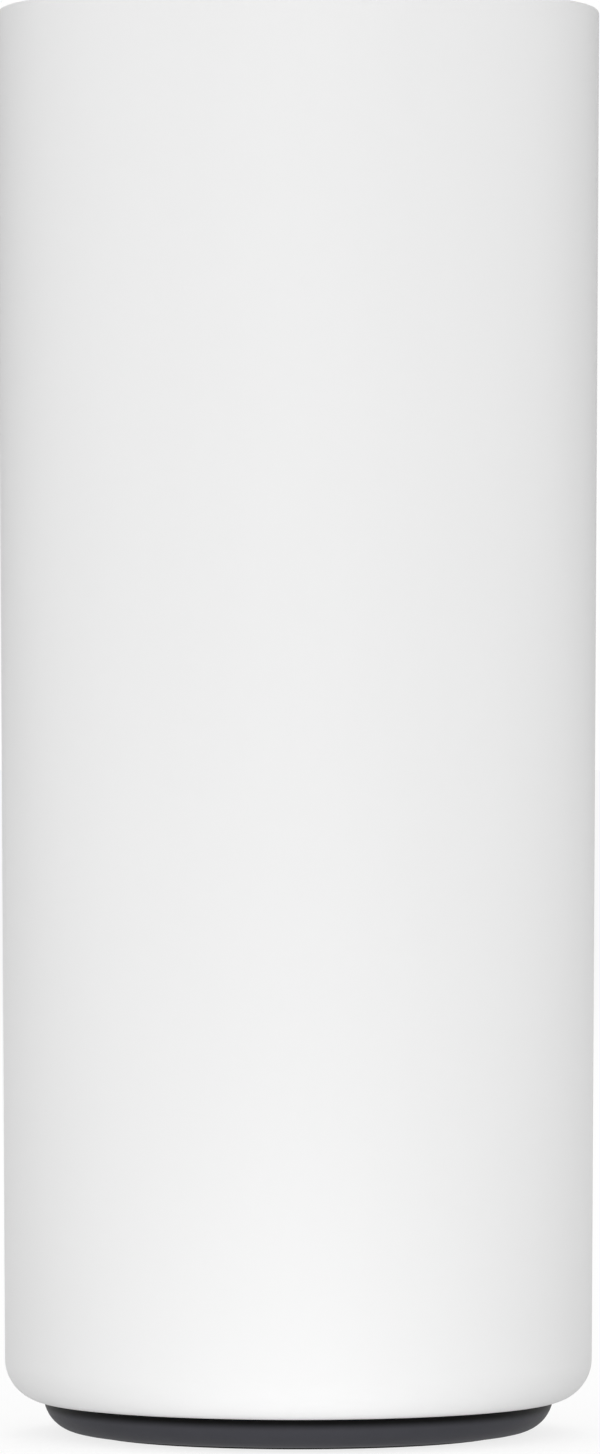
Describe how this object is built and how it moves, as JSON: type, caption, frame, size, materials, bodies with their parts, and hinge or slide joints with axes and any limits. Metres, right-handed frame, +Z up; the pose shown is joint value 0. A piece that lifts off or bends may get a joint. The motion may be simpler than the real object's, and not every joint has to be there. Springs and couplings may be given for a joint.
{
  "type": "wireless router",
  "caption": "Plain round white tower router on a recessed dark base, with a dished vented top and a column of ports in its back.",
  "frame": {"origin": "centre of the circle that the tower stands on, at the height of the table", "axes": "+Z up the tower, +Y out of the back with the ports, +X to the right seen from the front"},
  "size_m": [0.089, 0.089, 0.2104],
  "materials": {
    "white_shell": "fine satin",
    "dark_base": "fine satin",
    "foot_rubber": "matt",
    "port_black": "fine texture",
    "button_grey": "satin",
    "chassis_grey": "moulded",
    "board_green": "solder mask",
    "sink_aluminium": "extruded",
    "shield_steel": "pressed tin plate",
    "contact_gold": "plated",
    "screw_steel": "zinc plated",
    "thermal_grey": "matt",
    "chip_black": "moulded epoxy",
    "capacitor_sleeve": "shrunk sleeve",
    "clear_pipe": "frosted",
    "lamp_white": "moulded lens",
    "cable_black": "satin jacket",
    "label_silver": "matt label"
  },
  "bodies": {
    "housing": {"antenna_1": "board_green", "antenna_2": "board_green", "antenna_3": "board_green", "antenna_4": "board_green", "antenna_bracket_left": "chassis_grey", "antenna_bracket_right": "chassis_grey", "antenna_cable_1": "cable_black", "antenna_cable_2": "cable_black", "antenna_cable_3": "cable_black", "antenna_cable_4": "cable_black", "antenna_sockets": "contact_gold", "base_dish": "dark_base", "base_screws": "screw_steel", "capacitors": "capacitor_sleeve", "chassis_tray": "chassis_grey", "cover_screws": "screw_steel", "front_rail": "chassis_grey", "heat_sink_left": "sink_aluminium", "heat_sink_right": "sink_aluminium", "heat_sink_screws": "screw_steel", "jack_contacts": "contact_gold", "jack_shields": "shield_steel", "lamp_board": "board_green", "lamp_board_spacers": "chassis_grey", "lamp_cable": "cable_black", "lamp_socket": "port_black", "light_pipe": "clear_pipe", "main_board": "board_green", "network_jack_1": "port_black", "network_jack_2": "port_black", "network_jack_3": "port_black", "network_jack_4": "port_black", "network_transformers": "chip_black", "outer_sleeve": "white_shell", "pair_switch": "port_black", "port_panel": "dark_base", "power_inlet": "port_black", "power_inlet_pin": "contact_gold", "processor_chip": "chip_black", "processor_pad": "thermal_grey", "processor_shield": "shield_steel", "radio_pad_left": "thermal_grey", "radio_pad_right": "thermal_grey", "radio_shield_left": "shield_steel", "radio_shield_right": "shield_steel", "rating_label": "label_silver", "rear_rail": "chassis_grey", "reset_switch": "port_black", "rubber_foot": "foot_rubber", "status_lamp": "lamp_white", "switch_body": "port_black", "top_ring": "chassis_grey", "top_vent_cover": "white_shell"},
    "power_rocker": {"power_rocker": "button_grey"},
    "pair_button": {"pair_button": "button_grey", "pair_plunger": "button_grey"},
    "reset_button": {"reset_button": "button_grey", "reset_plunger": "button_grey"}
  },
  "joints": [
    {"name": "power_rocker_hinge", "type": "hinge", "parent": "housing", "child": "power_rocker", "pos_m": [0, 0.0366, 0.0385], "axis": [-1, 0, 0], "range_deg": [0, 16]},
    {"name": "pair_button_press", "type": "slide", "parent": "housing", "child": "pair_button", "axis": [0, -1, 0], "range_m": [0, 0.0005], "stiffness_N_per_m": 600, "springref_m": -0.001},
    {"name": "reset_button_press", "type": "slide", "parent": "housing", "child": "reset_button", "axis": [0, 0, 1], "range_m": [0, 0.0005], "stiffness_N_per_m": 600, "springref_m": -0.001}
  ]
}
